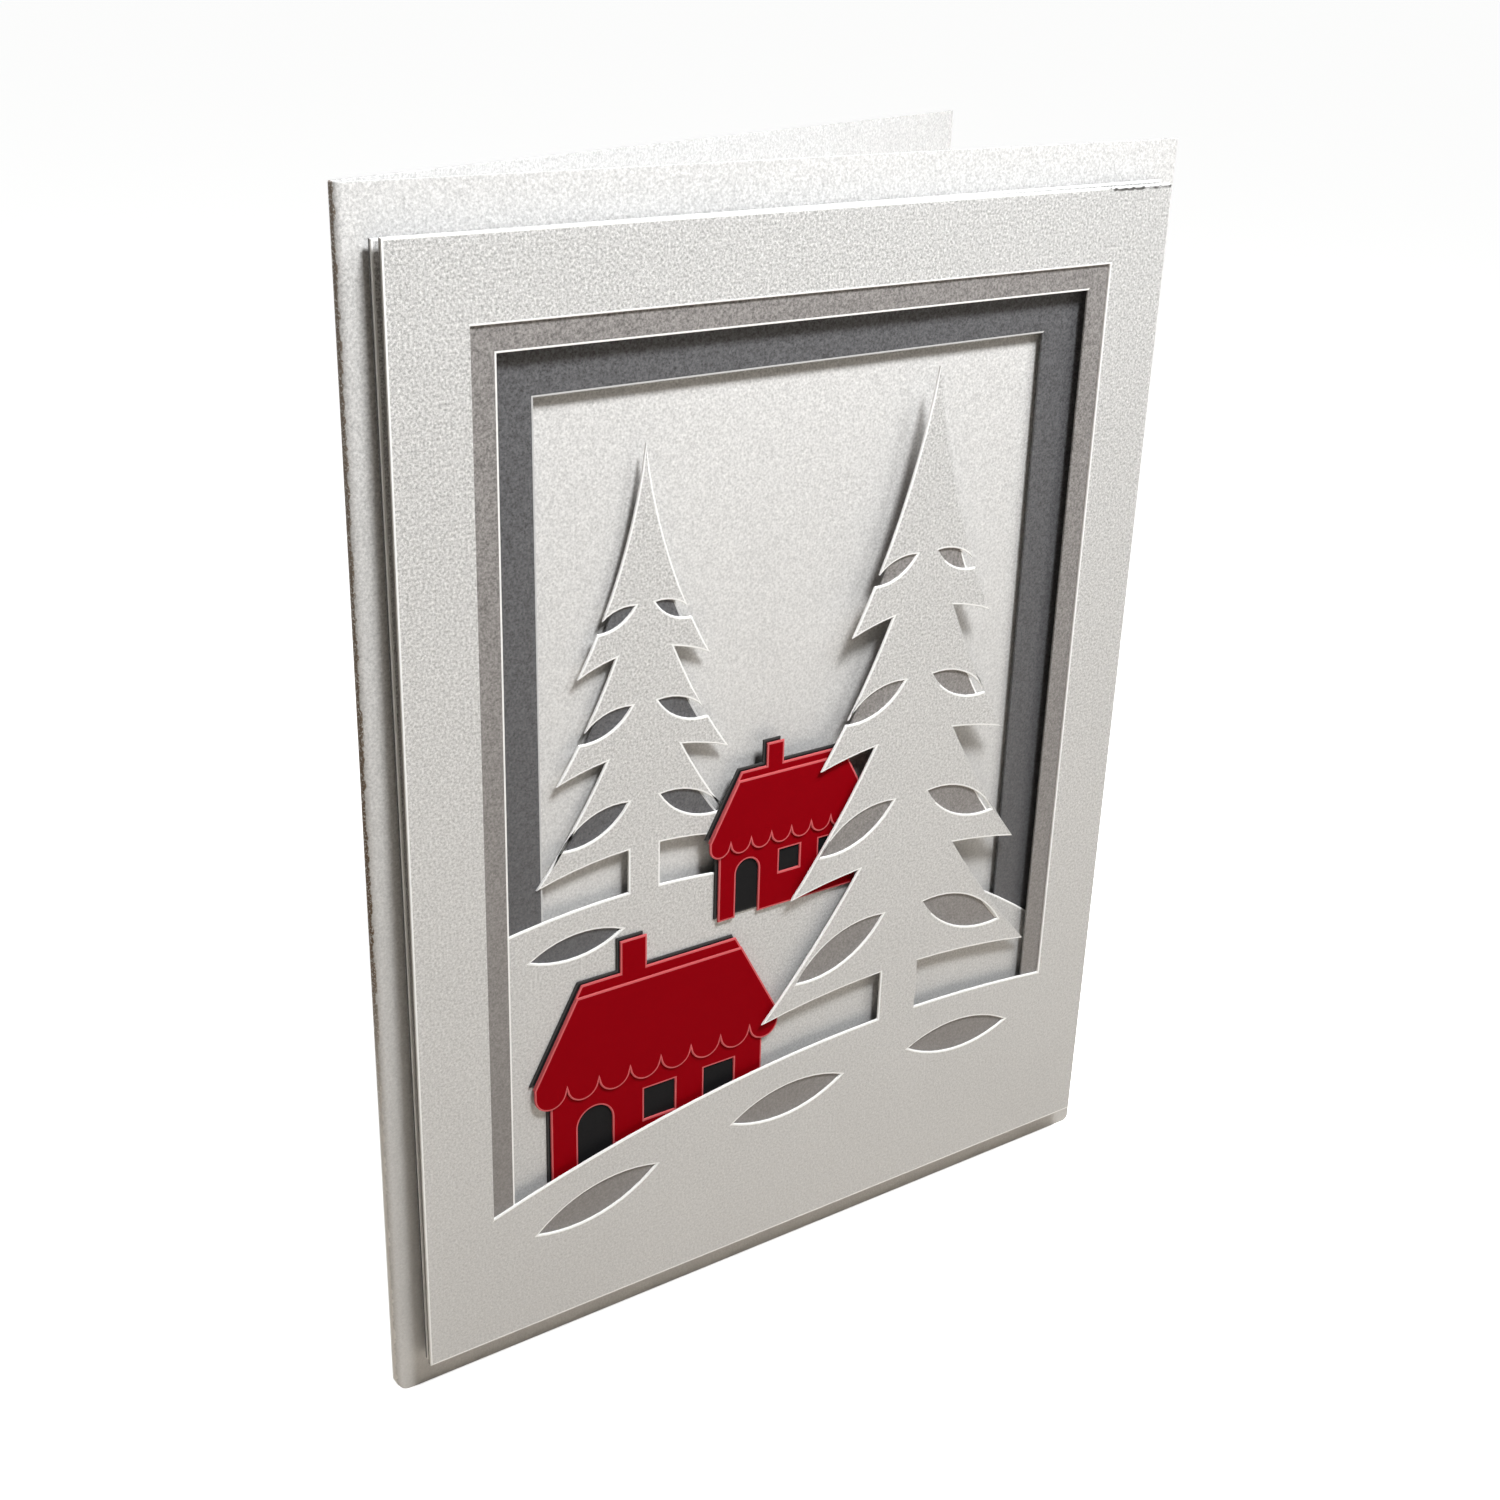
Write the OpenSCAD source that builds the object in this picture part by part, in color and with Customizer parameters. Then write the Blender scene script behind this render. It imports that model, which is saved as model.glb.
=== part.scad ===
// Greeting card of layered cut paper, standing slightly open on its lower edges.
// The card is one folded sheet. A raised stack of four cut sheets, with foam between them,
// frames a winter scene on its front leaf.
// Millimetres, +Z up, front leaf facing -Y, fold at -X, origin in the middle of the footprint.

/* [Card] */
// Width of a leaf, from the fold to its free edge
card_w = 107.95; // [95:0.05:130]
// Height of the card
card_h = 139.7; // [125:0.1:170]
// Thickness of the card stock
card_t = 0.35; // [0.2:0.05:0.6]
// Radius on the inside of the fold
fold_r = 0.5; // [0.3:0.1:2]
// Angle between the two leaves as the card stands
open_angle = 18.4; // [10:0.2:60]

/* [Wear] */
// Radius of the worn lower corner at the fold
worn_r = 2; // [0.5:0.1:4]
// Radius of the worn lower corner at the front leaf's free edge
worn_free_r = 0.9; // [0.3:0.1:2]
// Length of the tear along the top edge of the front panel, from its right corner
torn_l = 10; // [4:0.5:14]
// Mean depth of the tear
torn_depth = 0.25; // [0.1:0.05:0.5]
// How much the tear's depth varies, as a share of its mean
torn_ragged = 0.6; // [0:0.05:0.9]

/* [Stack of sheets] */
// Bare margin of the leaf at each side of the stack
margin_x = 3.2; // [1:0.1:6]
// Bare margin of the leaf above and below the stack
margin_z = 4.75; // [1:0.05:8]
// Thickness of the pearl sheets and of the grey mats
sheet_t = 0.3; // [0.2:0.05:0.5]
// Thickness of the red and black cut-outs
cutout_t = 0.25; // [0.15:0.05:0.4]
// Play between the cut-outs and the mat in front of them
cutout_play = 0.15; // [0.05:0.05:0.5]
// Thickness of the foam behind the rear pair of sheets
rear_foam_t = 0.8; // [0.5:0.1:2]
// Turn of the rear pair against the front pair, counter-clockwise
rear_turn = 0.3; // [0:0.1:0.6]

/* [Frames] */
// Width of the front frame
frame_w = 8.8; // [8:0.1:11]
// Warm grey mat that shows inside the front frame
warm_reveal = 2.9; // [1.5:0.1:4]
// Dark grey mat that shows inside the warm grey one
dark_reveal = 5; // [2:0.1:7]
// How far a backing stays behind the edge of the sheet that hides it
tuck = 0.8; // [0.4:0.1:1.2]
// How far the inner panel's frame stays behind the edge of the warm grey mat
frame_tuck = 1.6; // [0.8:0.1:2.4]

/* [Foam tape] */
// Width of a strip of foam tape
foam_w = 5; // [3:0.1:6]
// Distance of the strips from the edge of the stack
foam_inset = 1.5; // [1:0.1:2]
// Gap between two strips at a corner
foam_gap = 1; // [0.5:0.1:3]
// Side of the square foam pad under each hill
foam_pad = 8; // [5:0.5:10]

/* [Hills] */
// Height of the front hill's crest above the window's lower edge
front_crest = 18; // [15:0.5:22]
// Distance of the front crest from the window's left edge
front_crest_x = 60; // [45:0.5:70]
// Radius of the front hill
front_hill_r = 200; // [150:5:300]
// Height of the rear hill's crest above the large cottage's ridge
rear_crest_rise = 10; // [9:0.5:14]
// Distance of the rear crest from the window's left edge
rear_crest_x = 20; // [10:0.5:35]
// Radius of the rear hill
rear_hill_r = 105; // [95:5:160]
// Length of a slit that marks a snow drift
drift_l = 17; // [10:0.5:20]
// Width of a slit that marks a snow drift
drift_w = 4.4; // [2:0.1:5]
// Depth of the slits below the crest, to their middle
drift_depth = 6.5; // [5:0.1:8]
// Distance of the rear hill's drift from the window's left edge
rear_drift_x = 12; // [8:0.5:16]
// Length of the rear hill's drift
rear_drift_l = 12; // [6:0.5:14]
// Width of the rear hill's drift
rear_drift_w = 3; // [1.5:0.1:4]
// Depth of the rear hill's drift below its crest, to its middle
rear_drift_depth = 4.6; // [3.5:0.1:6]

/* [Front fir] */
// Distance of the front fir from the window's right edge
front_fir_x = 25; // [22:0.5:32]
// Height of its crown
front_fir_h = 80; // [70:0.5:86]
// Height of one tier of its boughs
front_tier_h = 31; // [26:0.5:36]
// Width of its lowest boughs
front_fir_w = 43; // [36:0.5:46]
// Width of its top boughs
front_fir_top_w = 21; // [16:0.5:26]
// Width of its trunk
front_trunk_w = 6; // [4:0.1:8]
// Height of its trunk above the hill
front_trunk_h = 5; // [2:0.1:8]

/* [Rear fir] */
// Distance of the rear fir from the window's left edge
rear_fir_x = 21; // [18:0.5:24]
// Height of its crown
rear_fir_h = 49; // [42:0.5:54]
// Height of one tier of its boughs
rear_tier_h = 25; // [21:0.5:28]
// Width of its lowest boughs
rear_fir_w = 28; // [24:0.5:32]
// Width of its top boughs
rear_fir_top_w = 17; // [14:0.5:20]
// Width of its trunk
rear_trunk_w = 4.2; // [3:0.1:6]
// Height of its trunk above the hill
rear_trunk_h = 3.5; // [1:0.1:5]

/* [Boughs] */
// Hollow of a bough's upper edge
bough_hollow = 1.3; // [0.5:0.1:2]
// Hollow of a bough's lower edge, which makes its tips droop
bough_droop = 2; // [0.5:0.1:3]
// Length of a slit, as a share of its tier's width
slit_length_share = 0.34; // [0.2:0.01:0.36]
// Width of a slit, as a share of its length
slit_width_share = 0.3; // [0.15:0.01:0.34]
// Slope of a slit below the horizontal
slit_slope = 25; // [15:1:32]
// Distance of a slit from the trunk, as a share of its tier's width
slit_place_share = 0.23; // [0.2:0.01:0.25]
// Height of a slit above its tier's tips, as a share of the tier's height
slit_rise_share = 0.24; // [0.22:0.01:0.27]

/* [Cottages] */
// Width of the large cottage's walls
wall_w = 30; // [24:0.5:32]
// Height of the large cottage's walls
wall_h = 16; // [12:0.5:18]
// Distance of the large cottage from the window's left edge
large_cottage_x = 8; // [6:0.5:10]
// Height of the large cottage's foot above the window's lower edge
large_cottage_z = 8; // [4:0.5:10]
// Distance of the small cottage from the window's left edge
small_cottage_x = 31; // [28:0.5:34]
// How far the small cottage stands below the rear crest line
small_cottage_sink = 5; // [3:0.5:8]
// Size of the small cottage against the large one
small_cottage_scale = 0.68; // [0.5:0.01:0.8]
// Height of a roof
roof_h = 12; // [8:0.5:14]
// Overhang of a roof past the walls
eaves = 2.2; // [1:0.1:3]
// Slope of the roof's ends, as the length that each takes off the ridge
hip = 6.5; // [4:0.5:9]
// Width of a chimney
chimney_w = 3.6; // [2.5:0.1:5]
// Height of a chimney above the ridge
chimney_h = 4.2; // [2:0.1:5]
// Distance of the chimney from the walls' left edge
chimney_x = 9.5; // [7:0.5:22]
// Number of scallops along the eaves
scallops = 8; // [5:1:10]
// Height of the scallops' middles below the top of the walls
roof_lap = 1.2; // [0.5:0.1:2]
// Distance of the raised roof piece from the ridge
ridge_inset = 1.4; // [0.5:0.1:3]
// Side of a square window
pane = 4.4; // [3:0.1:5]
// Distance of the first window's middle from the walls' left edge
pane_x = 15; // [13:0.5:16]
// Distance between the two windows' middles
pane_pitch = 8.6; // [6:0.1:9]
// Width of the door
door_w = 4.8; // [3.5:0.1:6]
// Height of the door, with its round top
door_h = 11; // [8:0.1:11.5]
// Distance of the door's middle from the walls' left edge
door_x = 6; // [4:0.5:8]
// Shift of the black underlay, to the left and up
underlay_shift = 0.4; // [0.1:0.05:0.8]

/* [Hidden] */
$fn = 96;
FOAM_SIDES = ["left", "right", "top", "bottom", "pad"];
SIZES = ["large", "small"];

// Fold and leaves, seen from above
fold_outer = fold_r + card_t;
leaf_l = card_w - fold_outer;
back_edge_y = fold_outer + leaf_l * sin(open_angle) + fold_outer * cos(open_angle);

// Stack, as distances in front of the leaf
front_foam_t = 3 * cutout_t + cutout_play;
dark_back = rear_foam_t;
inner_back = dark_back + sheet_t;
cutout_back = inner_back + sheet_t;
warm_back = cutout_back + front_foam_t;
front_back = warm_back + sheet_t;
stack_d = front_back + sheet_t;

// Outlines of the stack and of the front window
panel_w = card_w - 2 * margin_x;
panel_h = card_h - 2 * margin_z;
window_w = panel_w - 2 * frame_w;
window_h = panel_h - 2 * frame_w;

// Steps of the tear, whose depths follow the sine of the golden angle's multiples and so never repeat
torn_steps = 18;
golden_angle = 180 * (3 - sqrt(5));

// Places in the window
front_fir_at = window_w - front_fir_x;
front_tiers = 4;
rear_tiers = 3;
front_drifts = 3;
rear_crest = large_cottage_z + wall_h + roof_h + rear_crest_rise;
small_cottage_mid = small_cottage_x + wall_w * small_cottage_scale / 2;

// Overlap of cuts and of joined outlines past each other
over = 1;

function crest(top, top_x, r, x) = top - r + sqrt(r * r - (x - top_x) * (x - top_x));
function crest_slope(top_x, r, x) = -asin((x - top_x) / r);
function front_crest_at(x) = crest(front_crest, front_crest_x, front_hill_r, x);
function rear_crest_at(x) = crest(rear_crest, rear_crest_x, rear_hill_r, x);
small_cottage_z = rear_crest_at(small_cottage_mid) - small_cottage_sink;
function between(first, last, k, count) = first + (last - first) * k / (count - 1);

// Moves the card's lower fold corner to its place beside the origin
module in_place()
    translate([-card_w / 2, (stack_d - back_edge_y) / 2, 0])
    children();

// Cut sheet in the plane of the leaf: its outline is drawn from the middle of the leaf
module sheet(back, thickness, turn)
    in_place()
    translate([card_w / 2, -back, card_h / 2])
    rotate([90, 0, 0])
    linear_extrude(thickness)
    rotate(turn)
    children();

// Moves an outline to the lower left corner of the front window
module in_window()
    translate([-window_w / 2, -window_h / 2])
    children();

// Disc whose edge runs through two points and bulges to the left of the way from one to the other
module bow(from, to, bulge) {
    way = to - from;
    chord = norm(way);
    r = (chord * chord / 4 + bulge * bulge) / (2 * bulge);
    left = [-way[1], way[0]] / chord;
    translate((from + to) / 2 + left * (bulge - r))
        circle(r);
}

// Almond-shaped slit along X, with pointed ends
module slit(length, width) {
    intersection() {
        bow([-length / 2, 0], [length / 2, 0], width / 2);
        bow([length / 2, 0], [-length / 2, 0], width / 2);
    }
}

// One tier of boughs on the X axis: a triangle cut back by three discs to hollow edges and drooping tips
module tier(width, height, inset) {
    tip = [width / 2 - 2 * inset, inset];
    top = [0, height - 2 * inset];
    other_tip = [-tip[0], tip[1]];
    difference() {
        polygon([other_tip - [over, over], tip + [over, -over], top + [0, over]]);
        bow(tip, top, bough_hollow);
        bow(top, other_tip, bough_hollow);
        bow(other_tip, tip, bough_droop);
    }
}

// Fir whose crown starts at the origin, with a trunk that runs down into the hill
module fir(width, top_width, height, tiers, tier_h, trunk_w, trunk_h, inset) {
    pitch = (height - tier_h) / (tiers - 1);
    root = trunk_w;
    for (k = [0:tiers - 1])
        translate([0, k * pitch])
            tier(between(width, top_width, k, tiers), tier_h, inset);
    translate([inset - trunk_w / 2, -trunk_h - root])
        square([trunk_w - 2 * inset, trunk_h + root + tier_h / 2]);
}

// Pairs of slits on the boughs of a fir, each sized to its tier
module fir_slits(width, top_width, height, tiers, tier_h) {
    pitch = (height - tier_h) / (tiers - 1);
    for (k = [0:tiers - 1], side = [-1, 1]) {
        tier_w = between(width, top_width, k, tiers);
        length = slit_length_share * tier_w;
        translate([side * tier_w * slit_place_share, k * pitch + tier_h * slit_rise_share])
            rotate(-side * slit_slope)
            slit(length, slit_width_share * length);
    }
}

module front_fir(inset)
    translate([front_fir_at, front_crest_at(front_fir_at) + front_trunk_h])
    fir(front_fir_w, front_fir_top_w, front_fir_h, front_tiers, front_tier_h,
        front_trunk_w, front_trunk_h, inset);

module front_fir_slits()
    translate([front_fir_at, front_crest_at(front_fir_at) + front_trunk_h])
    fir_slits(front_fir_w, front_fir_top_w, front_fir_h, front_tiers, front_tier_h);

module rear_fir(inset)
    translate([rear_fir_x, rear_crest_at(rear_fir_x) + rear_trunk_h])
    fir(rear_fir_w, rear_fir_top_w, rear_fir_h, rear_tiers, rear_tier_h,
        rear_trunk_w, rear_trunk_h, inset);

module rear_fir_slits()
    translate([rear_fir_x, rear_crest_at(rear_fir_x) + rear_trunk_h])
    fir_slits(rear_fir_w, rear_fir_top_w, rear_fir_h, rear_tiers, rear_tier_h);

module front_hill(inset)
    translate([front_crest_x, front_crest - front_hill_r])
    circle(front_hill_r - inset);

module rear_hill(inset)
    translate([rear_crest_x, rear_crest - rear_hill_r])
    circle(rear_hill_r - inset);

// Slits that follow the front crest, evenly across the window
module front_drift_slits()
    for (k = [0:front_drifts - 1]) {
        x = window_w * (k + 0.5) / front_drifts;
        translate([x, front_crest_at(x) - drift_depth])
            rotate(crest_slope(front_crest_x, front_hill_r, x))
            slit(drift_l, drift_w);
    }

// Slit that follows the rear crest, above the large cottage
module rear_drift_slit()
    translate([rear_drift_x, rear_crest_at(rear_drift_x) - rear_drift_depth])
    rotate(crest_slope(rear_crest_x, rear_hill_r, rear_drift_x))
    slit(rear_drift_l, rear_drift_w);

// Whole sheet from which the sky is cut, so that the children stay joined to the frame
module scene_sheet(window_inset)
    difference() {
        square([panel_w, panel_h], center = true);
        difference() {
            square([window_w - 2 * window_inset, window_h - 2 * window_inset], center = true);
            in_window() children();
        }
    }

// White card stock, one sheet folded once, with two of its lower corners worn round
module folded_card() {
    color("whitesmoke")
        in_place()
        difference() {
            linear_extrude(card_h) {
                translate([fold_outer, 0])
                    square([leaf_l, card_t]);
                translate([fold_outer, fold_outer])
                    rotate(open_angle)
                    translate([0, fold_r])
                    square([leaf_l, card_t]);
                fold_bend();
            }
            worn_corner(worn_r, worn_r + 2 * fold_outer);
            translate([card_w, card_t, 0])
                rotate([0, 0, 180])
                worn_corner(worn_free_r, card_t);
        }
}

// Bend of the fold, seen from above: the part of a ring between the two leaves
module fold_bend()
    translate([fold_outer, fold_outer])
    difference() {
        circle(fold_outer);
        circle(fold_r);
        translate([0, -fold_outer - over])
            square([fold_outer + over, 2 * (fold_outer + over)]);
        rotate(open_angle)
            translate([0, -fold_outer - over])
            square([fold_outer + over, 2 * (fold_outer + over)]);
    }

// What is worn off a lower corner at the origin, through a depth along Y
module worn_corner(r, depth)
    translate([0, depth + over, 0])
    rotate([90, 0, 0])
    linear_extrude(depth + 2 * over)
    difference() {
        translate([-over, -over])
            square(r + over);
        translate([r, r])
            circle(r);
    }

// Strip of foam tape along one side of the stack, or the pad under a hill
module foam(side, pad_at) {
    reach_x = panel_w / 2 - foam_inset - foam_w / 2;
    reach_z = panel_h / 2 - foam_inset - foam_w / 2;
    upright = [foam_w, panel_h - 2 * foam_inset];
    level = [panel_w - 2 * (foam_inset + foam_w + foam_gap), foam_w];
    if (side == "left") translate([-reach_x, 0]) square(upright, center = true);
    if (side == "right") translate([reach_x, 0]) square(upright, center = true);
    if (side == "top") translate([0, reach_z]) square(level, center = true);
    if (side == "bottom") translate([0, -reach_z]) square(level, center = true);
    if (side == "pad") in_window() translate(pad_at) square(foam_pad, center = true);
}

// White foam between the leaf and the dark grey mat
module rear_foam(side) {
    pad_x = window_w / 2;
    color("snow")
        sheet(0, rear_foam_t, rear_turn)
        foam(side, [pad_x, rear_crest_at(pad_x) / 2]);
}

// White foam between the inner panel and the warm grey mat
module front_foam(side)
    color("snow")
    sheet(cutout_back, front_foam_t, 0)
    foam(side, [front_fir_at, (front_crest_at(front_fir_at) - tuck) / 2]);

// Dark grey sheet: a frame, and the backing of the rear hill and fir
module dark_mat()
    color("dimgray")
    sheet(dark_back, sheet_t, rear_turn)
    scene_sheet(warm_reveal + dark_reveal) {
        rear_hill(tuck);
        rear_fir(tuck);
    }

// Pearl sheet: the rear hill and fir, with a frame that the warm grey mat hides
module inner_panel()
    color("gainsboro")
    sheet(inner_back, sheet_t, rear_turn)
    difference() {
        scene_sheet(warm_reveal - frame_tuck) {
            rear_hill(0);
            rear_fir(0);
        }
        in_window() {
            rear_fir_slits();
            rear_drift_slit();
        }
    }

// Warm grey sheet: a frame, and the backing of the front hill and fir
module warm_mat()
    color("gray")
    sheet(warm_back, sheet_t, 0)
    scene_sheet(warm_reveal) {
        front_hill(tuck);
        front_fir(tuck);
    }

// What is torn off the top edge of the front panel, up to its right corner
module torn_edge() {
    pitch = torn_l / torn_steps;
    ragged = [
        for (k = [1:torn_steps])
            [k * pitch, -torn_depth * (1 + torn_ragged * sin(k * golden_angle))]
    ];
    translate([panel_w / 2 - torn_l, panel_h / 2])
        polygon(concat([[-pitch, over]], ragged, [[torn_l + over, -torn_depth], [torn_l + over, over]]));
}

// Pearl sheet: the front frame with the front hill and fir, torn at its upper right corner
module front_panel()
    color("gainsboro")
    sheet(front_back, sheet_t, 0)
    difference() {
        scene_sheet(0) {
            front_hill(0);
            front_fir(0);
        }
        in_window() {
            front_fir_slits();
            front_drift_slits();
        }
        torn_edge();
    }

// Outline of a roof from the top of the walls up to the ridge
module roof_outline()
    polygon([
        [-eaves, wall_h],
        [wall_w + eaves, wall_h],
        [wall_w + eaves - hip, wall_h + roof_h],
        [hip - eaves, wall_h + roof_h]
    ]);

// Outline of a cottage, drawn from the lower left corner of its walls
module cottage_outline() {
    square([wall_w, wall_h + over]);
    roof_outline();
    translate([chimney_x, wall_h + roof_h - over])
        square([chimney_w, chimney_h + over]);
}

// Door with a round top at the left, and two windows beside it
module cottage_cuts() {
    translate([door_x - door_w / 2, -over])
        square([door_w, door_h + over - door_w / 2]);
    translate([door_x, door_h - door_w / 2])
        circle(door_w / 2);
    for (k = [0, 1])
        translate([pane_x + k * pane_pitch - pane / 2, door_h - pane])
            square(pane);
}

// Raised roof piece: it stops short of the ridge and ends in scallops over the walls
module roof_overlay() {
    run = wall_w + 2 * eaves;
    pitch = run / scallops;
    slope = hip / roof_h;
    top = roof_h - ridge_inset;
    polygon([
        [-eaves, wall_h - roof_lap],
        [wall_w + eaves, wall_h - roof_lap],
        [wall_w + eaves, wall_h],
        [wall_w + eaves - slope * top, wall_h + top],
        [slope * top - eaves, wall_h + top],
        [-eaves, wall_h]
    ]);
    for (k = [0:scallops - 1])
        translate([pitch * (k + 0.5) - eaves, wall_h - roof_lap])
            circle(pitch / 2);
}

// Sheet of a cottage, glued on the inner panel's hill: layer 0 lies on the hill
module cottage_sheet(size, layer, shift)
    sheet(cutout_back + layer * cutout_t, cutout_t, rear_turn)
    in_window()
    translate(shift)
    if (size == "large")
        translate([large_cottage_x, large_cottage_z])
            children();
    else
        translate([small_cottage_x, small_cottage_z])
            scale(small_cottage_scale)
            children();

// Black sheet that shows as a thin line at the left and through the door and windows
module cottage_underlay(size)
    color("black")
    cottage_sheet(size, 0, [-underlay_shift, underlay_shift])
    cottage_outline();

module cottage_walls(size)
    color("firebrick")
    cottage_sheet(size, 1, [0, 0])
    difference() {
        cottage_outline();
        cottage_cuts();
    }

module cottage_roof(size)
    color("firebrick")
    cottage_sheet(size, 2, [0, 0])
    roof_overlay();

folded_card();
dark_mat();
inner_panel();
warm_mat();
front_panel();
for (side = FOAM_SIDES) {
    rear_foam(side);
    front_foam(side);
}
for (size = SIZES) {
    cottage_underlay(size);
    cottage_walls(size);
    cottage_roof(size);
}
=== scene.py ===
import math

import bpy
import numpy as np
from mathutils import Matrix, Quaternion, Vector


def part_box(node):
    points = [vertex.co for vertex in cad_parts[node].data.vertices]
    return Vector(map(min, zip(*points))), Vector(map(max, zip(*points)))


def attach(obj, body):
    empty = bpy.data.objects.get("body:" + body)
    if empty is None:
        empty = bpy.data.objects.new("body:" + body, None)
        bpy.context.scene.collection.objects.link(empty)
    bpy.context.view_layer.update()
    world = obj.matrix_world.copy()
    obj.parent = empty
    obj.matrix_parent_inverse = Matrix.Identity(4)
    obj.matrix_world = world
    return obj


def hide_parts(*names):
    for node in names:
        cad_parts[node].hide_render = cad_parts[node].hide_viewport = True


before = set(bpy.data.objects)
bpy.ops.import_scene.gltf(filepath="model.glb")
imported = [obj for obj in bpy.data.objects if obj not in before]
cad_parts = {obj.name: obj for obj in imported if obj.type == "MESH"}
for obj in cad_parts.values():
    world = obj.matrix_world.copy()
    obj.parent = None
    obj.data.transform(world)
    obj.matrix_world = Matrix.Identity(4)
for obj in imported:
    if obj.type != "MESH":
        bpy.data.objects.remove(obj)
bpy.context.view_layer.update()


# Folded card: one sheet of white card stock, half a letter sheet, scored and folded once at the left.
# It stands open on its lower edges. The crease is rubbed to bare fibres and cracked brown, most of all in
# its upper part; its brown is partly painted shade on the fold's rounded side, and its pale foot partly
# painted light. Two of the lower corners are worn round.
MM = 0.001
CARD_T = 0.35 * MM
FOLD_R = 0.5 * MM
OPEN_ANGLE = math.radians(18.4)
WORN_FOLD_R = 2 * MM
WORN_FREE_R = 0.9 * MM
CARD_EDGE_R = 0.09 * MM
EDGE_STEPS = 5
LEAF_STEPS = 64
BEND_STEPS = 28
CARD_WHITE = (0.632, 0.628, 0.62)
CREASE_FIBRE_AND_PAINTED_LIGHT = (0.92, 0.91, 0.89)
CREASE_CRACK_AND_PAINTED_SHADE = (0.19, 0.13, 0.085)
CREASE_W, CREASE_CORE_W = 0.17 * MM, 0.07 * MM
CREASE_RAG, CREASE_RAG_SCALE = 0.18 * MM, 700.0
CREASE_RAG_FROM, CREASE_RAG_TO = 0.4, 0.65
CREASE_FADE_LOW, CREASE_FADE_HIGH, CREASE_AT_FOOT = 32 * MM, 62 * MM, 0.06
CREASE_TOP, CREASE_AT_TOP = 115 * MM, 0.85
CRACK_SCALE, CRACK_FROM, CRACK_TO = 3600.0, 0.3, 0.5
CREASE_DETAIL, CREASE_ROUGHNESS = 3.0, 0.6

card_low, card_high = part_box("folded_card")
card_w = card_high.x - card_low.x
card_h = card_high.z - card_low.z


def quarter_turn():
    """Angles from nought to a right angle, in even steps."""
    return np.linspace(0, math.pi / 2, EDGE_STEPS)


def worn_rise(distance, radius):
    """Height that a quarter circle of wear takes off a corner, at a distance from the corner's side."""
    share = np.clip(1 - distance / radius, 0, 1)
    return radius * (1 - np.sqrt(1 - share**2))


def folded_card_surface():
    """Section of the sheet carried along its plan, as (points, faces).

    The plan's middle line is the front leaf, an arc about the fold's middle, and the back leaf. Steps are
    spaced by a cosine, so that they are close together at the fold and at the free edges. The section is
    a ring: a rectangle of the sheet's thickness and height whose corners are quarter circles. At each free
    edge the ring's corner circles shrink along a quarter circle, which rounds that edge as well. The foot
    of the ring rises by a quarter circle where a corner is worn.
    """
    fold_outer = FOLD_R + CARD_T
    middle_r = FOLD_R + CARD_T / 2
    leaf = card_w - fold_outer
    bend = middle_r * (math.pi - OPEN_ANGLE)
    total = 2 * leaf + bend

    turn = quarter_turn()[::-1]
    edge = CARD_EDGE_R * (1 - np.sin(turn))
    spread = (1 - np.cos(np.linspace(0, math.pi, LEAF_STEPS)[1:])) / 2
    half = np.concatenate([edge, CARD_EDGE_R + (leaf - CARD_EDGE_R) * spread])
    around = leaf + bend * np.linspace(0, 1, BEND_STEPS)[1:-1]
    distance = np.concatenate([half, around, total - half[::-1]])
    corner_r = np.full(len(distance), CARD_EDGE_R)
    corner_r[:EDGE_STEPS] = CARD_EDGE_R * np.cos(turn)
    corner_r[-EDGE_STEPS:] = CARD_EDGE_R * np.cos(turn[::-1])

    facing = -math.pi / 2 - np.clip(distance - leaf, 0, bend) / middle_r
    outward = np.stack([np.cos(facing), np.sin(facing)], 1)
    heading = np.array([math.cos(OPEN_ANGLE), math.sin(OPEN_ANGLE)])
    middle = fold_outer + middle_r * outward
    middle[:, 0] += leaf - np.clip(distance, 0, leaf)
    middle += np.clip(distance - leaf - bend, 0, leaf)[:, None] * heading

    ring = np.concatenate([quarter_turn() + k * math.pi / 2 for k in range(4)])
    outer_side = np.repeat([1, -1, -1, 1], EDGE_STEPS)
    upper_side = np.repeat([1, 1, 0, 0], EDGE_STEPS)
    across = outer_side * (CARD_T / 2 - CARD_EDGE_R) + corner_r[:, None] * np.cos(ring)
    height = np.where(upper_side, card_h - CARD_EDGE_R, CARD_EDGE_R) + corner_r[:, None] * np.sin(ring)
    plan = middle[:, None, :] + across[:, :, None] * outward[:, None, :]
    rise = worn_rise(plan[:, :, 0], WORN_FOLD_R) + worn_rise(distance[:, None], WORN_FREE_R)
    height = height + rise * (1 - height / card_h)

    points = np.stack([plan[:, :, 0] + card_low.x, plan[:, :, 1] + card_low.y, height], 2)
    rings, steps = height.shape
    index = np.arange(rings * steps).reshape(rings, steps)
    after = np.roll(index, -1, axis=1)
    quads = np.stack([index[:-1], after[:-1], after[1:], index[1:]], 2).reshape(-1, 4)
    return points.reshape(-1, 3), [*quads.tolist(), index[0, ::-1].tolist(), index[-1].tolist()]


SHARP_ANGLE = math.radians(35)


def new_piece(name, points, faces):
    """Mesh object at the origin, smooth but for its sharp edges."""
    mesh = bpy.data.meshes.new(name)
    mesh.from_pydata(points.tolist(), [], faces)
    mesh.polygons.foreach_set("use_smooth", np.ones(len(mesh.polygons), bool))
    mesh.set_sharp_from_angle(angle=SHARP_ANGLE)
    piece = bpy.data.objects.new(name, mesh)
    bpy.context.scene.collection.objects.link(piece)
    return piece


def put(tree, kind, inputs, **settings):
    """Adds a node. Each input is a value, or another node's output to link to it."""
    node = tree.nodes.new(kind)
    for key, value in settings.items():
        setattr(node, key, value)
    for socket, value in inputs.items():
        if isinstance(value, bpy.types.NodeSocket):
            tree.links.new(value, node.inputs[socket])
        else:
            node.inputs[socket].default_value = value
    return node


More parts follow.
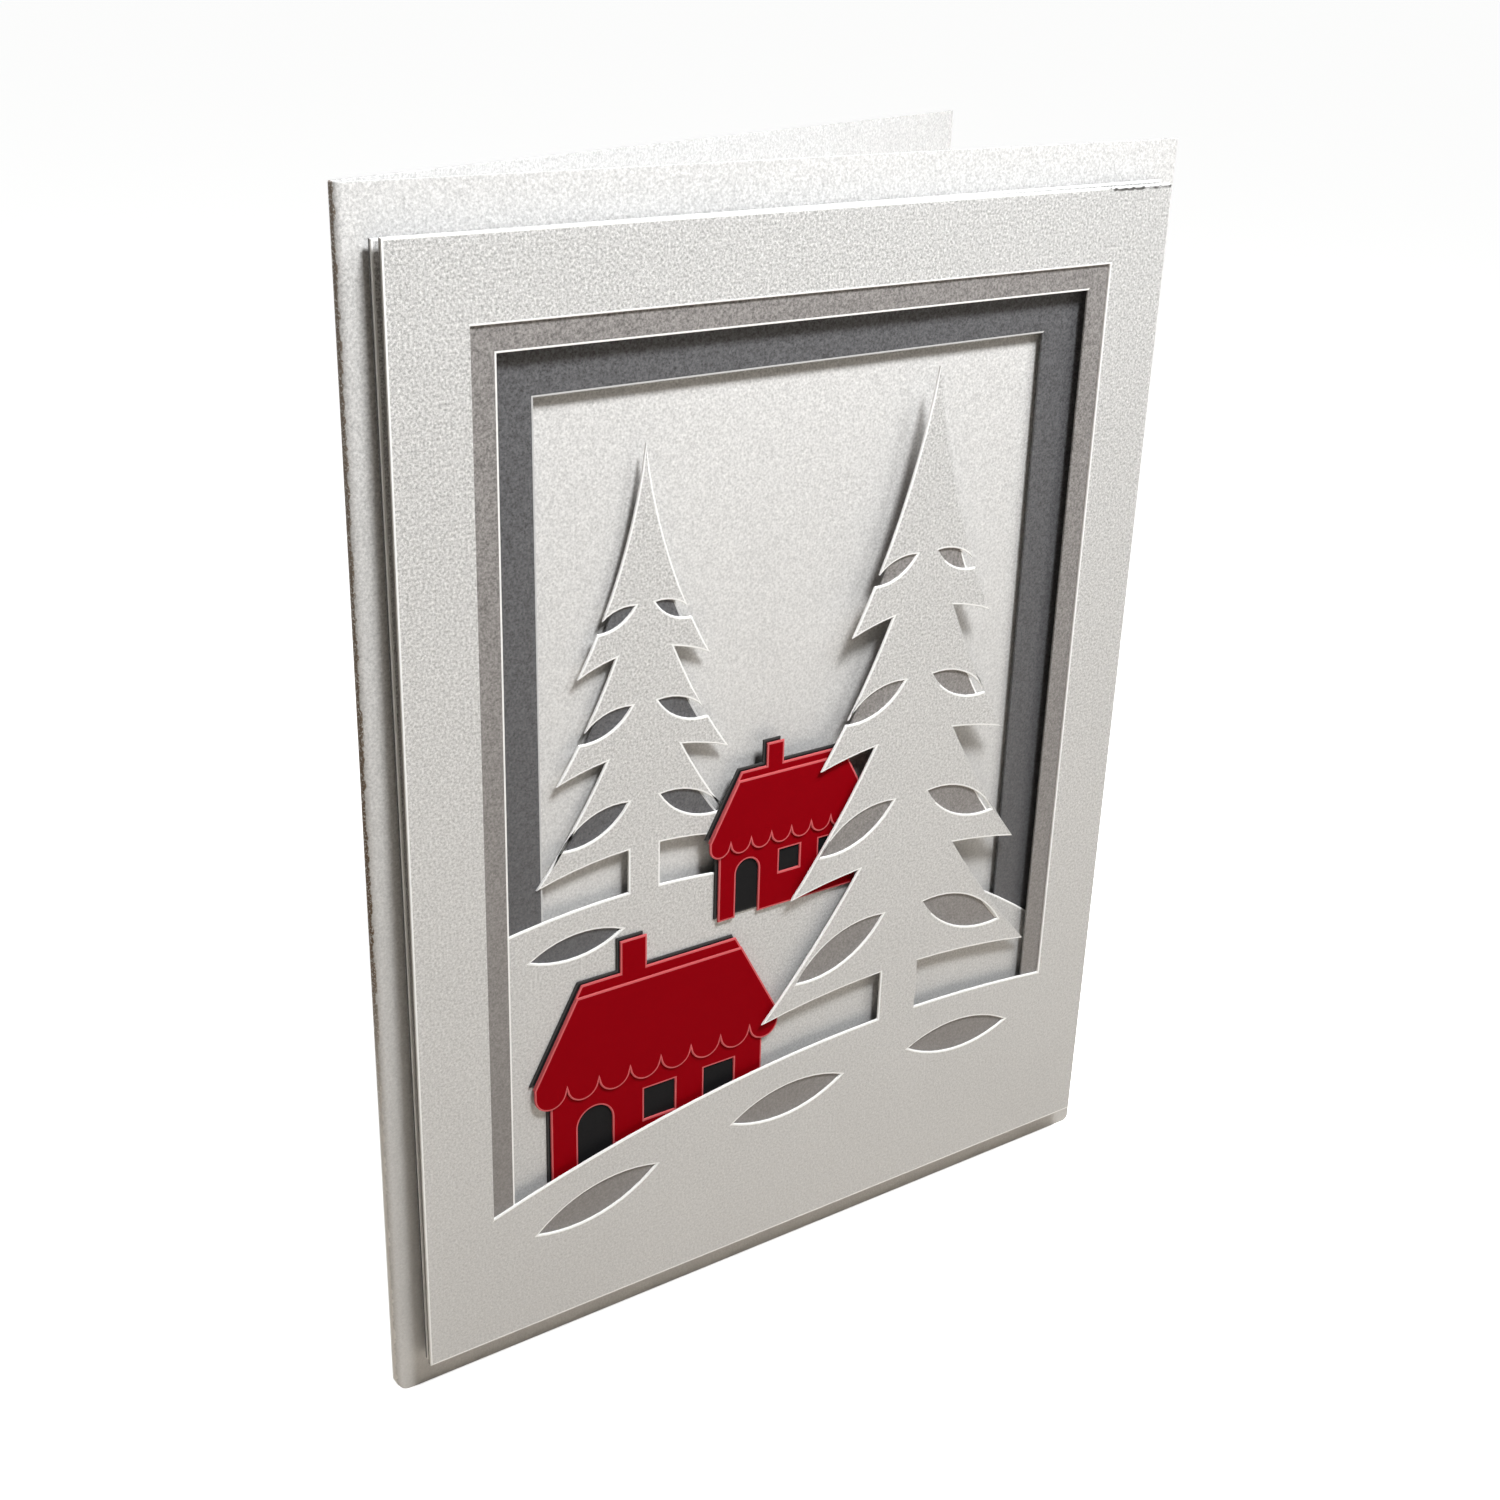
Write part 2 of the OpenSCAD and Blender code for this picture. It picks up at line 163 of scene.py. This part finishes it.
def calc(tree, operation, first, second):
    """Output of a Math node."""
    return put(tree, "ShaderNodeMath", {0: first, 1: second}, operation=operation).outputs["Value"]


def ramp(tree, value, low, high, to_low=0.0, to_high=1.0):
    """Output that goes smoothly from to_low to to_high as value goes from low to high."""
    inputs = {"Value": value, "From Min": low, "From Max": high, "To Min": to_low, "To Max": to_high}
    return put(tree, "ShaderNodeMapRange", inputs, interpolation_type="SMOOTHSTEP").outputs["Result"]


MIX_FACTOR, MIX_FIRST, MIX_SECOND, MIX_RESULT = 0, 6, 7, 2


def blend_colour(tree, factor, first, second, blend_type="MIX"):
    """Output of a colour Mix node. Its sockets share their names with others, so they go by number."""
    node = tree.nodes.new("ShaderNodeMix")
    node.data_type = "RGBA"
    node.blend_type = blend_type
    for socket, value in ((MIX_FACTOR, factor), (MIX_FIRST, first), (MIX_SECOND, second)):
        if isinstance(value, bpy.types.NodeSocket):
            tree.links.new(value, node.inputs[socket])
        else:
            node.inputs[socket].default_value = value if socket == MIX_FACTOR else (*value, 1)
    return node.outputs[MIX_RESULT]


def new_group(name, inputs, outputs):
    """Shader node group with float sockets, and its input and output nodes."""
    tree = bpy.data.node_groups.new(name, "ShaderNodeTree")
    for socket in inputs:
        tree.interface.new_socket(socket, in_out="INPUT", socket_type="NodeSocketFloat")
    for socket in outputs:
        tree.interface.new_socket(socket, in_out="OUTPUT", socket_type="NodeSocketFloat")
    return tree, tree.nodes.new("NodeGroupInput").outputs, tree.nodes.new("NodeGroupOutput").inputs


def object_coordinates(tree):
    """Place on the piece, in metres from the origin."""
    return tree.nodes.new("ShaderNodeTexCoord").outputs["Object"]


def noise(tree, scale, detail, roughness=0.5):
    """Noise between 0 and 1, with its coarsest waves at the given scale per metre."""
    inputs = {"Vector": object_coordinates(tree), "Scale": scale, "Detail": detail, "Roughness": roughness}
    return put(tree, "ShaderNodeTexNoise", inputs).outputs["Fac"]


PAINTED_GLINT_AT_FOOT = 0.28
GRAIN_AND_GLINT_BASE = 0.44
GRAIN_DETAIL, GRAIN_ROUGHNESS = 4.0, 0.7
CLOUD_SCALE, CLOUD_DETAIL, CLOUD_BASE = 90.0, 3.0, 0.5


def make_paper_grain():
    """Mottle of a paper face: fine grain of the given size in millimetres, and soft clouds of the pulp.

    Shade is a factor about 1 for the colour: one plus the grain and the clouds, each about its base and
    times its contrast. Height is the same grain for a bump. The grain's contrast grows with the height on
    the card as a painted glint, and most of the grain is lighter than the paper's own colour, so the paper
    is
    painted lighter towards the top: painted light from above.
    """
    tree, given, result = new_group(
        "paper_grain_and_glint", ("Grain Size", "Grain Contrast", "Cloud Contrast"), ("Shade", "Height")
    )
    height = put(tree, "ShaderNodeSeparateXYZ", {"Vector": object_coordinates(tree)}).outputs["Z"]
    # Painted glint: the grain's contrast, and with it the paper's lightness, rises towards the top of the
    # card.
    painted_glint = ramp(tree, height, 0.0, card_h, PAINTED_GLINT_AT_FOOT, 1.0)
    grain_scale = calc(tree, "DIVIDE", 1 / MM, given["Grain Size"])
    grain = noise(tree, grain_scale, GRAIN_DETAIL, GRAIN_ROUGHNESS)
    cloud = noise(tree, CLOUD_SCALE, CLOUD_DETAIL)
    contrast = calc(tree, "MULTIPLY", given["Grain Contrast"], painted_glint)
    grain_shade = calc(tree, "MULTIPLY", calc(tree, "SUBTRACT", grain, GRAIN_AND_GLINT_BASE), contrast)
    cloud_shade = calc(tree, "MULTIPLY", calc(tree, "SUBTRACT", cloud, CLOUD_BASE), given["Cloud Contrast"])
    shade = calc(tree, "ADD", calc(tree, "ADD", grain_shade, cloud_shade), 1.0)
    tree.links.new(shade, result["Shade"])
    tree.links.new(grain, result["Height"])
    return tree


def make_specks():
    """Stray dark specks in the pulp: a small disc in a few of the cells of a Voronoi pattern.

    Spacing and Radius are in millimetres, and Share is the share of the cells that hold a speck.
    """
    tree, given, result = new_group("specks", ("Spacing", "Radius", "Share"), ("Mask",))
    scale = calc(tree, "DIVIDE", 1 / MM, given["Spacing"])
    cells = put(tree, "ShaderNodeTexVoronoi", {"Vector": object_coordinates(tree), "Scale": scale})
    radius = calc(tree, "DIVIDE", given["Radius"], given["Spacing"])
    disc = calc(tree, "LESS_THAN", cells.outputs["Distance"], radius)
    chosen = calc(tree, "LESS_THAN", cells.outputs["Color"], given["Share"])
    tree.links.new(calc(tree, "MULTIPLY", disc, chosen), result["Mask"])
    return tree


PAPER_GRAIN_AND_GLINT = make_paper_grain()
SPECKS = make_specks()
SPECK_GREY = (0.16, 0.15, 0.14)
SPECK_SPACING, SPECK_R = 2.5, 0.11
CLOUD_CONTRAST = 0.05
GRAIN_LOW, GRAIN_HIGH = 0.3, 0.7
ROUGHNESS_SWING = 0.08


def paper_material(
    name, colour, roughness, grain_size, grain_contrast, bump, metallic=0.0, speck_share=0.0
):
    """Paper face: its colour in a mottle of grain and clouds, with a painted glint towards the top,
    stray specks, and a grain that is felt.

    The grain's size is in millimetres. Gives the material, its tree and its shader, so that a piece can
    add its own wear.
    """
    material = bpy.data.materials.new(name)
    material.use_nodes = True
    tree = material.node_tree
    shader = tree.nodes["Principled BSDF"]
    shader.inputs["Metallic"].default_value = metallic
    grain_inputs = {
        "Grain Size": grain_size, "Grain Contrast": grain_contrast, "Cloud Contrast": CLOUD_CONTRAST
    }
    grain = put(tree, "ShaderNodeGroup", grain_inputs, node_tree=PAPER_GRAIN_AND_GLINT)
    face = blend_colour(tree, 1.0, colour, grain.outputs["Shade"], "MULTIPLY")
    if speck_share:
        speck_inputs = {"Spacing": SPECK_SPACING, "Radius": SPECK_R, "Share": speck_share}
        specks = put(tree, "ShaderNodeGroup", speck_inputs, node_tree=SPECKS)
        face = blend_colour(tree, specks.outputs["Mask"], face, SPECK_GREY)
    tree.links.new(face, shader.inputs["Base Color"])
    smoothest, roughest = roughness - ROUGHNESS_SWING, roughness + ROUGHNESS_SWING
    rough = ramp(tree, grain.outputs["Height"], GRAIN_LOW, GRAIN_HIGH, smoothest, roughest)
    tree.links.new(rough, shader.inputs["Roughness"])
    bump_inputs = {"Height": grain.outputs["Height"], "Strength": 1.0, "Distance": bump}
    bumped = put(tree, "ShaderNodeBump", bump_inputs)
    tree.links.new(bumped.outputs["Normal"], shader.inputs["Normal"])
    return material, tree, shader


def card_material():
    """Card stock whose crease is rubbed to bare fibres, with brown cracks that fade towards the foot.

    The crease is a band along the fold with a ragged border. In it the brown is a noise of cracks, times
    a share that rises above the foot and falls a little towards the top. The brown is partly painted shade
    on the fold's rounded side, and the pale fibres left at the foot are partly painted light.
    """
    material, tree, shader = paper_material(
        "card_stock", CARD_WHITE, roughness=0.5, grain_size=0.3, grain_contrast=1.7, bump=0.05 * MM,
        metallic=0.08, speck_share=0.04,
    )
    place = put(tree, "ShaderNodeSeparateXYZ", {"Vector": object_coordinates(tree)}).outputs
    rag_noise = noise(tree, CREASE_RAG_SCALE, CREASE_DETAIL, CREASE_ROUGHNESS)
    rag = ramp(tree, rag_noise, CREASE_RAG_FROM, CREASE_RAG_TO, 0.0, CREASE_RAG)
    ragged = calc(tree, "SUBTRACT", place["X"], rag)
    near_fold = ramp(tree, ragged, card_low.x + CREASE_W, card_low.x + CREASE_CORE_W)
    # Painted shade and light: the crease is browner high up and paler at the foot, partly for how light
    # falls on the fold.
    upper = ramp(tree, place["Z"], CREASE_FADE_LOW, CREASE_FADE_HIGH, CREASE_AT_FOOT, 1.0)
    worst = ramp(tree, place["Z"], CREASE_FADE_HIGH, CREASE_TOP, 1.0, CREASE_AT_TOP)
    crack_noise = noise(tree, CRACK_SCALE, CREASE_DETAIL, CREASE_ROUGHNESS)
    cracks = ramp(tree, crack_noise, CRACK_FROM, CRACK_TO)
    brown = calc(tree, "MULTIPLY", calc(tree, "MULTIPLY", upper, worst), cracks)
    crease = blend_colour(tree, brown, CREASE_FIBRE_AND_PAINTED_LIGHT, CREASE_CRACK_AND_PAINTED_SHADE)
    face = shader.inputs["Base Color"].links[0].from_socket
    tree.links.new(blend_colour(tree, near_fold, face, crease), shader.inputs["Base Color"])
    return material


card = new_piece("folded_card_stock", *folded_card_surface())
card.data.materials.append(card_material())
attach(card, "root")
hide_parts("folded_card")


# Rear foam: four strips and a pad of white double-sided foam tape, cut with scissors.
# They stick the dark mat to the front leaf and hold it off by their thickness. Pressed between the
# sheets, their cut sides bulge a little at half height.
FOAM_WHITE = (0.80, 0.80, 0.78)
FOAM_PULL = 0.12 * MM
FOAM_ROUGHNESS = 0.85
FOAM_CELL_SCALE, FOAM_CELL_FROM, FOAM_CELL_TO = 4200.0, 0.1, 0.6
FOAM_HOLLOW_PAINTED_SHADE = 0.8
FOAM_BUMP, FOAM_BUMP_DEPTH = 0.6, 0.05 * MM
FOAM_STEPS = 7
FOAM_SIDES = ("left", "right", "top", "bottom", "pad")
WELD = 1e-6
MITRE_LIMIT = 2.5
LEAST_TURN, LEAST_LENGTH = 1e-3, 1e-9


def flat_outline(node):
    """Front face of a flat solid: points, triangles, rim edges, inward mitres, its place in Y and its depth.

    The solid's loose triangles are welded, and those whose corners all lie in the foremost plane are its
    front face. A side of such a triangle that no other one shares is a rim edge, with the sheet on its
    left. The inward mitre of a rim point is the sum of its two edges' left normals, over one plus their
    product, and no longer than the mitre limit.
    """
    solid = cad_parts[node].data
    solid.calc_loop_triangles()
    corners = np.empty(3 * len(solid.vertices))
    solid.vertices.foreach_get("co", corners)
    triangles = np.empty(3 * len(solid.loop_triangles), np.int32)
    solid.loop_triangles.foreach_get("vertices", triangles)
    cells, weld = np.unique(np.rint(corners.reshape(-1, 3) / WELD).astype(int), axis=0, return_inverse=True)
    triangles = weld.ravel()[triangles].reshape(-1, 3)
    foremost = cells[:, 1] == cells[:, 1].min()
    triangles = triangles[foremost[triangles].all(1)]
    used, triangles = np.unique(triangles, return_inverse=True)
    triangles = triangles.reshape(-1, 3)
    points = cells[used][:, [0, 2]] * WELD

    count = len(points)
    start = triangles.ravel()
    end = np.roll(triangles, -1, axis=1).ravel()
    rim = ~np.isin(start * count + end, end * count + start)
    start, end = start[rim], end[rim]
    way = points[end] - points[start]
    left = np.stack([-way[:, 1], way[:, 0]], 1) / np.linalg.norm(way, axis=1)[:, None]
    leaving = np.zeros((count, 2))
    reaching = np.zeros((count, 2))
    leaving[start] = left
    reaching[end] = left
    turn = np.maximum(1 + (leaving * reaching).sum(1), LEAST_TURN)
    mitre = (leaving + reaching) / turn[:, None]
    length = np.maximum(np.linalg.norm(mitre, axis=1), LEAST_LENGTH)
    mitre *= np.minimum(1, MITRE_LIMIT / length)[:, None]
    depth = (cells[:, 1].max() - cells[:, 1].min()) * WELD
    return points, triangles, np.stack([start, end], 1), mitre, cells[:, 1].min() * WELD, depth


def cut_sheet(name, node, inset, share, shaded_side=0):
    """Edge profile carried along every cut outline of a flat solid, between its front and its back face.

    Step k of the profile lies inset[k] inside the outline, along the mitres, at share[k] of the thickness
    behind the front face. The two faces are the solid's own, moved in by the first and the last inset.
    Faces of the front and back have material 0, and those of the cut edge have material 1, but for the
    cuts that face the shaded side, which keep material 0 as painted shade: -1 is left, 1 is right and 0 is
    neither.
    """
    points, triangles, rim, mitre, front, depth = flat_outline(node)
    count = len(points)
    plane = points[None] + inset[:, None, None] * mitre[None]
    y = np.broadcast_to((front + share * depth)[:, None], plane.shape[:2])
    layers = np.stack([plane[..., 0], y, plane[..., 1]], 2)
    steps = np.arange(len(inset) - 1)[:, None] * count
    start, end = rim[:, 0], rim[:, 1]
    quads = np.stack([steps + start, steps + start + count, steps + end + count, steps + end], 2)
    back = triangles[:, ::-1] + (len(inset) - 1) * count
    faces = [*triangles.tolist(), *back.tolist(), *quads.reshape(-1, 4).tolist()]
    piece = new_piece(name, layers.reshape(-1, 3), faces)
    flat = 2 * len(triangles)
    is_edge = np.arange(len(faces)) >= flat
    way = points[end] - points[start]
    # Cuts that face the shaded side keep the face material: painted shade on that side.
    is_shaded = shaded_side * way[:, 1] > np.abs(way[:, 0])
    is_core = is_edge.copy()
    is_core[flat:] = ~np.tile(is_shaded, len(inset) - 1)
    piece.data.polygons.foreach_set("material_index", is_core.astype(np.int32))
    piece.data.polygons.foreach_set("use_smooth", is_edge)
    return piece


def foam_material():
    """White foam with fine open cells on its cut sides, whose hollows are painted darker as painted shade.
    """
    material = bpy.data.materials.new("foam_tape")
    material.use_nodes = True
    tree = material.node_tree
    shader = tree.nodes["Principled BSDF"]
    shader.inputs["Roughness"].default_value = FOAM_ROUGHNESS
    cell_inputs = {"Vector": object_coordinates(tree), "Scale": FOAM_CELL_SCALE}
    cells = put(tree, "ShaderNodeTexVoronoi", cell_inputs)
    hollow = ramp(tree, cells.outputs["Distance"], FOAM_CELL_FROM, FOAM_CELL_TO)
    # Painted shade in the hollows of the cells.
    shade = ramp(tree, hollow, 0.0, 1.0, FOAM_HOLLOW_PAINTED_SHADE, 1.0)
    tree.links.new(blend_colour(tree, 1.0, FOAM_WHITE, shade, "MULTIPLY"), shader.inputs["Base Color"])
    bump_inputs = {"Height": hollow, "Strength": FOAM_BUMP, "Distance": FOAM_BUMP_DEPTH}
    bumped = put(tree, "ShaderNodeBump", bump_inputs)
    tree.links.new(bumped.outputs["Normal"], shader.inputs["Normal"])
    return material


FOAM = foam_material()


def foam_tape(layer):
    """The five pieces of foam of one layer, of the same foam inside and out.

    Their cut sides are parabolas, fullest at half the thickness.
    """
    share = np.linspace(0, 1, FOAM_STEPS)
    inset = FOAM_PULL * (2 * share - 1) ** 2
    for side in FOAM_SIDES:
        node = f"{layer}_foam_{side}"
        tape = cut_sheet(f"{node}_tape", node, inset, share)
        tape.data.materials.append(FOAM)
        tape.data.materials.append(FOAM)
        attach(tape, "root")
        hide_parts(node)


foam_tape("rear")


# Dark mat: dark grey pearl paper, paler inside, blade-cut to a frame with the backing of the rear scene.
# It lies on the rear foam. A thin line of the pale core shows along its cuts, but along those that face
# left the face colour covers the cut edge as painted shade.
DARK_GREY = (0.102, 0.103, 0.109)
DARK_CORE = (0.55, 0.55, 0.55)
SHOULDER_R = 0.09 * MM
# Flat rim in the core's colour: partly the bared core, partly a painted highlight along the cut.
CORE_AND_HIGHLIGHT_RIM_W = 0.14 * MM
BACK_BEVEL = 0.03 * MM
SHOULDER_STEPS = 5
LEFT, RIGHT = -1, 1
MAT_FINISH = {
    "roughness": 0.5, "grain_size": 0.25, "grain_contrast": 4.2, "bump": 0.015 * MM, "metallic": 0.15
}
CORE_FINISH = {"roughness": 0.75, "grain_size": 0.15, "grain_contrast": 0.12, "bump": 0.02 * MM}


def paper_edge(thickness):
    """Profile of a blade-cut paper edge, as insets and shares of the thickness.

    It is a flat rim on the front face, drawn in the core's colour as a white line that is partly the bared
    core and partly a painted highlight, a quarter circle for the shoulder, a wall and a back bevel.
    """
    turn = np.linspace(0, math.pi / 2, SHOULDER_STEPS)
    inset = np.concatenate([[SHOULDER_R + CORE_AND_HIGHLIGHT_RIM_W], SHOULDER_R * (1 - np.sin(turn)), [0, BACK_BEVEL]])
    depth = np.concatenate([[0], SHOULDER_R * (1 - np.cos(turn)), [thickness - BACK_BEVEL, thickness]])
    return inset, depth / thickness


def core_material(name, colour):
    """Bare fibres of a paper's core, as a cut edge shows them."""
    material, _, _ = paper_material(name, colour, **CORE_FINISH)
    return material


def paper_piece(node, face, core, shaded_side=0):
    """Flat cut paper that stands for a node, in its face material and, at its cuts, that of its core."""
    low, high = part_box(node)
    piece = cut_sheet(f"{node}_paper", node, *paper_edge(high.y - low.y), shaded_side)
    piece.data.materials.append(face)
    piece.data.materials.append(core)
    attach(piece, "root")
    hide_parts(node)
    return piece


dark_face, _, _ = paper_material("dark_grey_paper", DARK_GREY, **MAT_FINISH)
dark_core = core_material("dark_grey_core", DARK_CORE)
paper_piece("dark_mat", dark_face, dark_core, LEFT)


# Inner panel: silvery white pearl paper with the rear hill, its fir and a frame, cut from one sheet.
# It is glued on the dark mat, which shows through its slits.
PEARL_WHITE = (0.576, 0.576, 0.572)
PAPER_CORE = (0.95, 0.95, 0.94)

pearl_face, _, _ = paper_material(
    "pearl_paper", PEARL_WHITE, roughness=0.42, grain_size=0.3, grain_contrast=3.3, bump=0.06 * MM,
    metallic=0.2, speck_share=0.03,
)
white_core = core_material("white_core", PAPER_CORE)
paper_piece("inner_panel", pearl_face, white_core)


# Cottages: two cut-outs, each a black underlay, red walls with a door and two windows, and a red roof.
# The three are cut from thin coloured paper and glued on one another and on the rear hill. The cut edges
# of the red paper are a paler, pinkish red.
RED = (0.27, 0.0006, 0.0045)
RED_CORE = (0.62, 0.10, 0.11)
BLACK = (0.012, 0.012, 0.013)
BLACK_CORE = (0.03, 0.03, 0.03)
RED_SHEEN, BLACK_SHEEN = 0.02, 0.1
CUTOUT_FINISH = {"roughness": 0.7, "grain_size": 0.3, "grain_contrast": 0.5, "bump": 0.01 * MM}

black_face, _, black_shader = paper_material("black_paper", BLACK, **CUTOUT_FINISH)
black_shader.inputs["Specular IOR Level"].default_value = BLACK_SHEEN
black_core = core_material("black_core", BLACK_CORE)
red_face, _, red_shader = paper_material("red_paper", RED, **CUTOUT_FINISH)
red_shader.inputs["Specular IOR Level"].default_value = RED_SHEEN
red_core = core_material("red_core", RED_CORE)
for size in ("large", "small"):
    paper_piece(f"{size}_cottage_underlay", black_face, black_core)
    paper_piece(f"{size}_cottage_walls", red_face, red_core)
    paper_piece(f"{size}_cottage_roof", red_face, red_core)


# Front foam: the same white tape, four strips and a pad, a little thicker than the cut-outs.
# It sticks the warm mat to the inner panel and holds it off.
foam_tape("front")


# Warm mat: warm grey pearl paper with a white core, a frame with the backing of the front scene.
# It lies on the front foam, over the frame of the inner panel, and is cut like the dark mat, with the
# same painted shade on the cuts that face left.
WARM_GREY = (0.234, 0.222, 0.216)
WARM_CORE = (0.94, 0.935, 0.92)

warm_face, _, _ = paper_material("warm_grey_paper", WARM_GREY, **MAT_FINISH)
warm_core = core_material("warm_grey_core", WARM_CORE)
paper_piece("warm_mat", warm_face, warm_core, LEFT)


# Front panel: the same pearl paper as the inner one, with the frame, the front hill and the front fir.
# It is glued on the warm mat, which shows as a line inside the frame and through the slits. Its cuts that
# face right show no white core: the face colour covers them as painted shade. Its top edge is torn at the
# right end, where the torn core is painted dark as painted shade.
TORN_SHADE_GREY = (0.065, 0.062, 0.058)
TORN_L = 10 * MM
TORN_REACH = 0.7 * MM
TORN_PATCH_SCALE, TORN_PATCH_DETAIL = 420.0, 2.0
TORN_PATCH_FROM, TORN_PATCH_TO, TORN_LEAST = 0.4, 0.55, 0.5

_, panel_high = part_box("front_panel")


def torn_shaded_core_material():
    """White core of the panel, with dark patches of painted shade where the top edge is torn."""
    material, tree, shader = paper_material("torn_shaded_core", PAPER_CORE, **CORE_FINISH)
    place = put(tree, "ShaderNodeSeparateXYZ", {"Vector": object_coordinates(tree)}).outputs
    torn_from = panel_high.x - TORN_L
    along = ramp(tree, place["X"], torn_from - TORN_REACH, torn_from + TORN_REACH)
    high = ramp(tree, place["Z"], panel_high.z - TORN_REACH, panel_high.z - TORN_REACH / 2)
    face = shader.inputs["Base Color"].links[0].from_socket
    patch_noise = noise(tree, TORN_PATCH_SCALE, TORN_PATCH_DETAIL)
    patch = ramp(tree, patch_noise, TORN_PATCH_FROM, TORN_PATCH_TO, TORN_LEAST, 1.0)
    # Painted shade: the torn core goes dark at the top right end.
    painted_shade = calc(tree, "MULTIPLY", calc(tree, "MULTIPLY", along, high), patch)
    tree.links.new(blend_colour(tree, painted_shade, face, TORN_SHADE_GREY), shader.inputs["Base Color"])
    return material


paper_piece("front_panel", pearl_face, torn_shaded_core_material(), RIGHT)


# Floor, light and camera: a plain pale floor and backdrop, soft boxes from above and around, and the view
# of the photograph.
FLOOR_R, FLOOR_STEPS = 9.0, 96
FLOOR_WHITE = (0.90, 0.90, 0.895)
FLOOR_BOUNCE = (0.7, 0.635, 0.555)
FLOOR_GLOW = 0.8
LIGHT_AIM = Vector((0.0, -0.016, 0.075))
LAMP_WHITE = (0.98, 0.99, 1.0)
KEY_AT, KEY_SIZE, KEY_WATTS = Vector((0.02, -0.22, 0.4)), 0.09, 1.62
RIGHT_AT, RIGHT_SIZE, RIGHT_WATTS = Vector((0.14, -0.16, 0.3)), 0.1, 0.26
INSIDE_AT, INSIDE_SIZE, INSIDE_WATTS = Vector((0.6, 0.08, 0.06)), 0.1, 0.035
INSIDE_AIM, INSIDE_SPREAD = Vector((0.0, 0.0, 0.04)), math.radians(20)
BACK_FROM, BACK_ANGLE, BACK_STRENGTH = Vector((-0.25, 0.9, 0.36)), math.radians(25), 2.4
FILL_COLOUR = (0.01, 0.0095, 0.0085)
BACKDROP_COLOUR = (0.97, 0.97, 0.965)
CAMERA_AT, CAMERA_AIM = Vector((-125.96, -187.05, 164.08)) * MM, Vector((-5.70, -16.28, 72.98)) * MM
CAMERA_ROLL, CAMERA_LENS = math.radians(1.9), 46.66
CAMERA_NEAR, CAMERA_FAR = 0.005, 50.0


def make_floor():
    """Disc on the ground, as a ring of points about its middle.

    Seen directly it is a pale studio floor with a glow of its own, so that it stays pale far from the
    lamps. The light that it throws back on the card is that of a warm table top.
    """
    turn = np.linspace(0, 2 * math.pi, FLOOR_STEPS, endpoint=False)
    points = np.stack([FLOOR_R * np.cos(turn), FLOOR_R * np.sin(turn), np.zeros_like(turn)], 1)
    floor = new_piece("floor", points, [list(range(len(points)))])
    material = bpy.data.materials.new("floor_paint")
    material.use_nodes = True
    tree = material.node_tree
    lit = put(tree, "ShaderNodeBsdfDiffuse", {"Color": (*FLOOR_WHITE, 1)})
    glow = put(tree, "ShaderNodeEmission", {"Color": (*FLOOR_WHITE, 1), "Strength": FLOOR_GLOW})
    seen = put(tree, "ShaderNodeAddShader", {0: lit.outputs[0], 1: glow.outputs[0]})
    thrown = put(tree, "ShaderNodeBsdfDiffuse", {"Color": (*FLOOR_BOUNCE, 1)})
    direct = tree.nodes.new("ShaderNodeLightPath").outputs["Is Camera Ray"]
    both = put(tree, "ShaderNodeMixShader", {0: direct, 1: thrown.outputs[0], 2: seen.outputs[0]})
    tree.links.new(both.outputs[0], tree.nodes["Material Output"].inputs["Surface"])
    floor.data.materials.append(material)
    return floor


make_floor()


def add_lamp(name, kind, strength, shining):
    """Lamp that shines along a direction."""
    lamp = bpy.data.objects.new(name, bpy.data.lights.new(name, kind))
    lamp.data.energy = strength
    lamp.data.color = LAMP_WHITE
    lamp.rotation_mode = "QUATERNION"
    lamp.rotation_quaternion = shining.to_track_quat("-Z", "Y")
    bpy.context.scene.collection.objects.link(lamp)
    return lamp


def add_soft_box(name, at, size, watts, aim=LIGHT_AIM, spread=math.pi):
    """Round area lamp that shines on the middle of the card, or where it is aimed."""
    lamp = add_lamp(name, "AREA", watts, aim - at)
    lamp.location = at
    lamp.data.shape = "DISK"
    lamp.data.size = size
    lamp.data.spread = spread


add_soft_box("key", KEY_AT, KEY_SIZE, KEY_WATTS)
add_soft_box("right", RIGHT_AT, RIGHT_SIZE, RIGHT_WATTS)
add_soft_box("inside", INSIDE_AT, INSIDE_SIZE, INSIDE_WATTS, INSIDE_AIM, INSIDE_SPREAD)
back = add_lamp("back", "SUN", BACK_STRENGTH, -BACK_FROM)
back.data.angle = BACK_ANGLE

world = bpy.data.worlds.new("studio")
world.use_nodes = True
room = world.node_tree
direct = room.nodes.new("ShaderNodeLightPath").outputs["Is Camera Ray"]
room_colour = blend_colour(room, direct, FILL_COLOUR, BACKDROP_COLOUR)
room.links.new(room_colour, room.nodes["Background"].inputs["Color"])
bpy.context.scene.world = world
bpy.context.scene.view_settings.view_transform = "Standard"

camera = bpy.data.objects.new("camera", bpy.data.cameras.new("camera"))
camera.data.lens = CAMERA_LENS
camera.location = CAMERA_AT
camera.rotation_mode = "QUATERNION"
camera_turn = (CAMERA_AIM - CAMERA_AT).to_track_quat("-Z", "Y")
camera.rotation_quaternion = camera_turn @ Quaternion((0, 0, 1), CAMERA_ROLL)
camera.data.clip_start = CAMERA_NEAR
camera.data.clip_end = CAMERA_FAR
bpy.context.scene.collection.objects.link(camera)
bpy.context.scene.camera = camera
